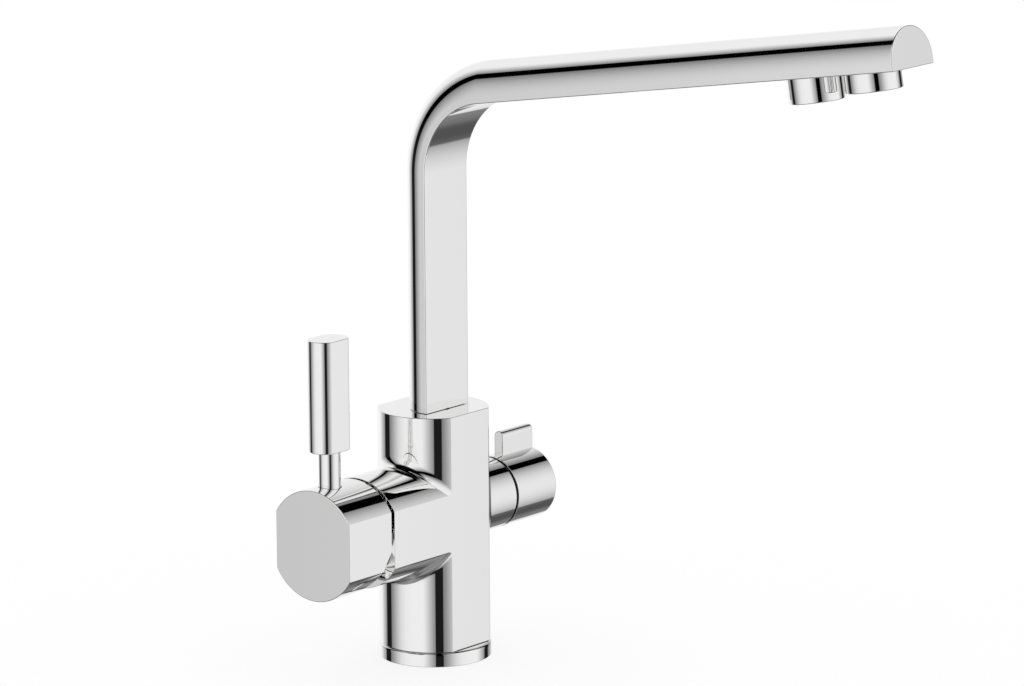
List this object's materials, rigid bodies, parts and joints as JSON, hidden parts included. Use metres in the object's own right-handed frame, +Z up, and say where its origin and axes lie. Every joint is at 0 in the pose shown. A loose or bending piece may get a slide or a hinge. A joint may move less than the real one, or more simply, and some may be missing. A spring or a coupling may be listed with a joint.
{
  "type": "three way filtered water tap",
  "caption": "Deck tap with a side mixer and pin lever, a filtered water valve with a paddle knob, and a swivelling D-section spout with separate mixed and filtered outlets.",
  "frame": {"origin": "centre of the base ring's underside, on the worktop", "axes": "+Z up along the column and the spout's swivel axis, +X along the spout at rest, -Y along the mixer and its lever, +Y along the filter valve"},
  "size_m": [0.2871, 0.1497, 0.3121],
  "materials": {
    "chrome": "polished",
    "brass": "machined",
    "steel": "machined",
    "rubber": "matt",
    "black_plastic": "matt",
    "white_plastic": "matt",
    "grey_plastic": "matt",
    "ceramic": "lapped ceramic"
  },
  "bodies": {
    "column": {"base_ring": "chrome", "worktop_seal": "rubber", "column_spacer": "black_plastic", "column_body": "chrome", "hot_inlet": "brass", "cold_inlet": "brass", "filtered_inlet": "brass", "cartridge_seal": "rubber", "cartridge_base": "grey_plastic", "cartridge_shell": "white_plastic", "ceramic_disc_fixed": "ceramic", "cartridge_nut": "brass", "mixer_neck": "chrome", "valve_seat_seal": "rubber", "valve_headwork": "brass", "valve_disc_fixed": "ceramic", "valve_glide_ring": "black_plastic", "swivel_bush": "black_plastic", "lower_bush": "black_plastic", "spout_stop_screw": "steel"},
    "spout": {"spout": "chrome", "spout_spigot": "brass", "lower_o_ring": "rubber", "upper_o_ring": "rubber", "filtered_water_tube": "white_plastic", "mixed_outlet_sleeve": "chrome", "mixed_outlet_washer": "rubber", "mixed_outlet_insert": "white_plastic", "filtered_outlet_sleeve": "chrome", "filtered_outlet_washer": "rubber", "filtered_outlet_insert": "grey_plastic", "filtered_tube_seal": "rubber"},
    "turret": {"cartridge_turret": "white_plastic", "pivot_pin": "steel"},
    "lever": {"cartridge_lever": "steel", "mixer_cap": "chrome", "cap_grub_screw": "steel", "lever_stem": "chrome", "lever_grip": "chrome"},
    "disc": {"disc_carrier": "grey_plastic", "ceramic_disc_moving": "ceramic"},
    "knob": {"filter_knob": "chrome", "knob_grub_screw": "steel", "valve_spindle": "brass", "valve_spindle_seal": "rubber", "valve_disc_moving": "ceramic"}
  },
  "joints": [
    {"name": "spout_swivel", "type": "hinge", "parent": "column", "child": "spout", "pos_m": [0, 0, 0.1142], "axis": [0, 0, 1], "range_deg": [-150, 150]},
    {"name": "mixer_temperature", "type": "hinge", "parent": "column", "child": "turret", "pos_m": [0, -0.044, 0.066], "axis": [0, -1, 0], "range_deg": [-45, 45]},
    {"name": "mixer_flow", "type": "hinge", "parent": "turret", "child": "lever", "pos_m": [0, -0.044, 0.066], "axis": [1, 0, 0], "range_deg": [0, 17]},
    {"name": "mixer_disc_slide", "type": "slide", "parent": "turret", "child": "disc", "axis": [0, 0, 1], "range_m": [0, 0.0034]},
    {"name": "filter_valve_turn", "type": "hinge", "parent": "column", "child": "knob", "pos_m": [0, 0.04, 0.067], "axis": [0, 1, 0], "range_deg": [0, 90]}
  ],
  "couplings": [
    {"joint": "mixer_disc_slide", "follows": "mixer_flow", "m_per_rad": 0.0114}
  ]
}
